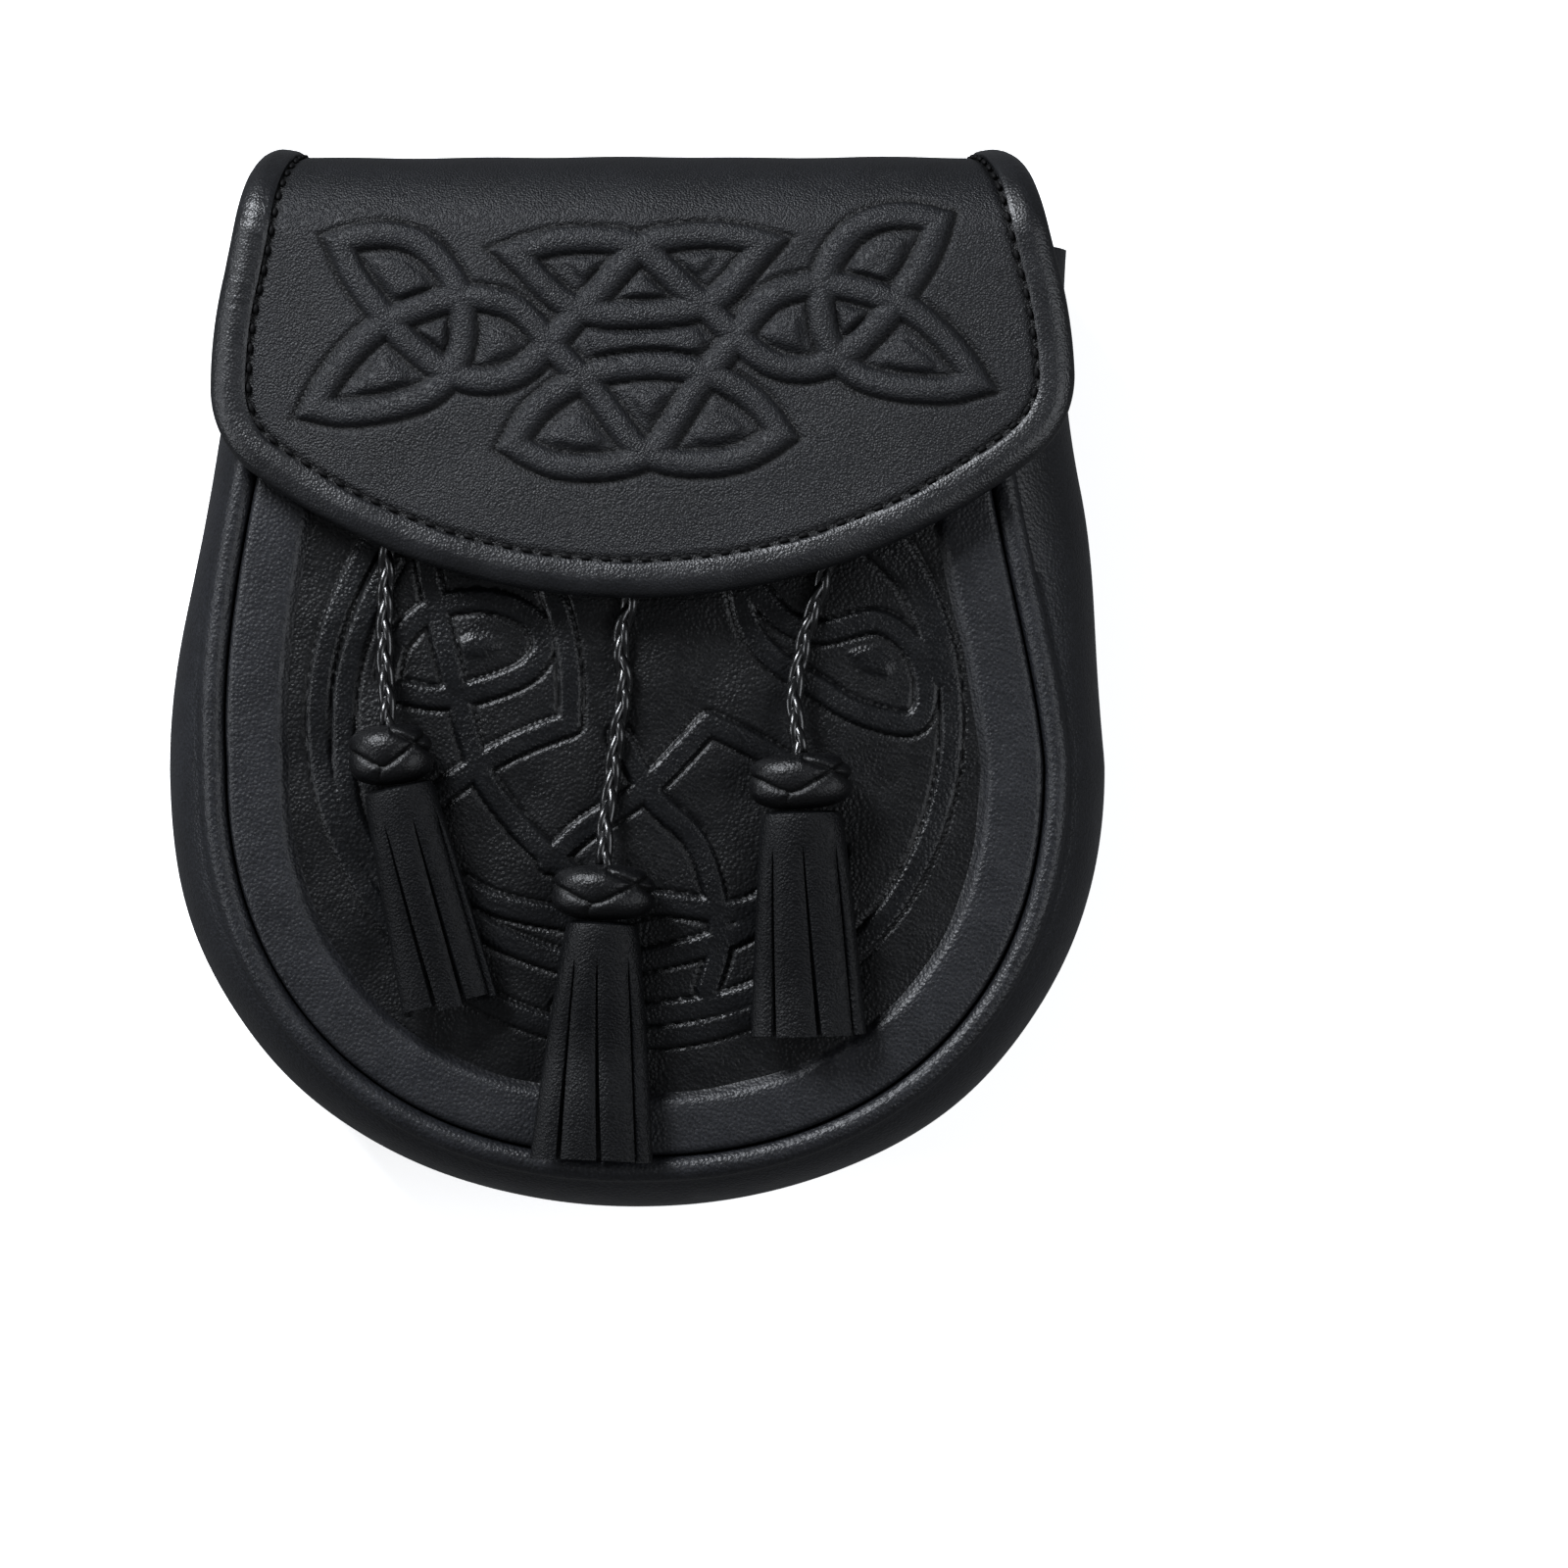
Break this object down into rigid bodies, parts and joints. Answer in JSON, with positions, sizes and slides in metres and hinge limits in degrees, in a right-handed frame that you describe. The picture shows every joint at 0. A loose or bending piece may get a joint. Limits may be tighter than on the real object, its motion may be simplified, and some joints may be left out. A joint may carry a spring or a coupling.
{
  "type": "sporran pouch",
  "caption": "Rounded leather day sporran pouch with a folding bound flap, bulging gusset, moulded front panel and tassels on braided cords, lying on its back",
  "frame": {"origin": "on the surface that the pouch lies on, under the middle of its outline", "axes": "+X across the pouch to the wearer's left, +Y up the pouch to the fold of its flap, +Z out of its front"},
  "size_m": [0.1774, 0.2002, 0.0618],
  "materials": {
    "body_leather": "pebbled, semi-matte",
    "flap_leather": "pebbled, semi-matte, embossed",
    "binding_leather": "smooth, semi-gloss",
    "braid_leather": "smooth, glossy",
    "skirt_leather": "matte, slit",
    "stud_metal": "satin"
  },
  "bodies": {
    "root": {"back_panel": "body_leather", "gusset": "body_leather", "front_panel": "body_leather", "flap": "flap_leather", "flap_binding": "binding_leather", "closure_stud": "stud_metal", "left_belt_loop": "body_leather", "right_belt_loop": "body_leather", "left_cord": "braid_leather", "left_knot": "braid_leather", "left_tassel": "skirt_leather", "centre_cord": "braid_leather", "centre_knot": "braid_leather", "centre_tassel": "skirt_leather", "right_cord": "braid_leather", "right_knot": "braid_leather", "right_tassel": "skirt_leather"}
  },
  "joints": []
}
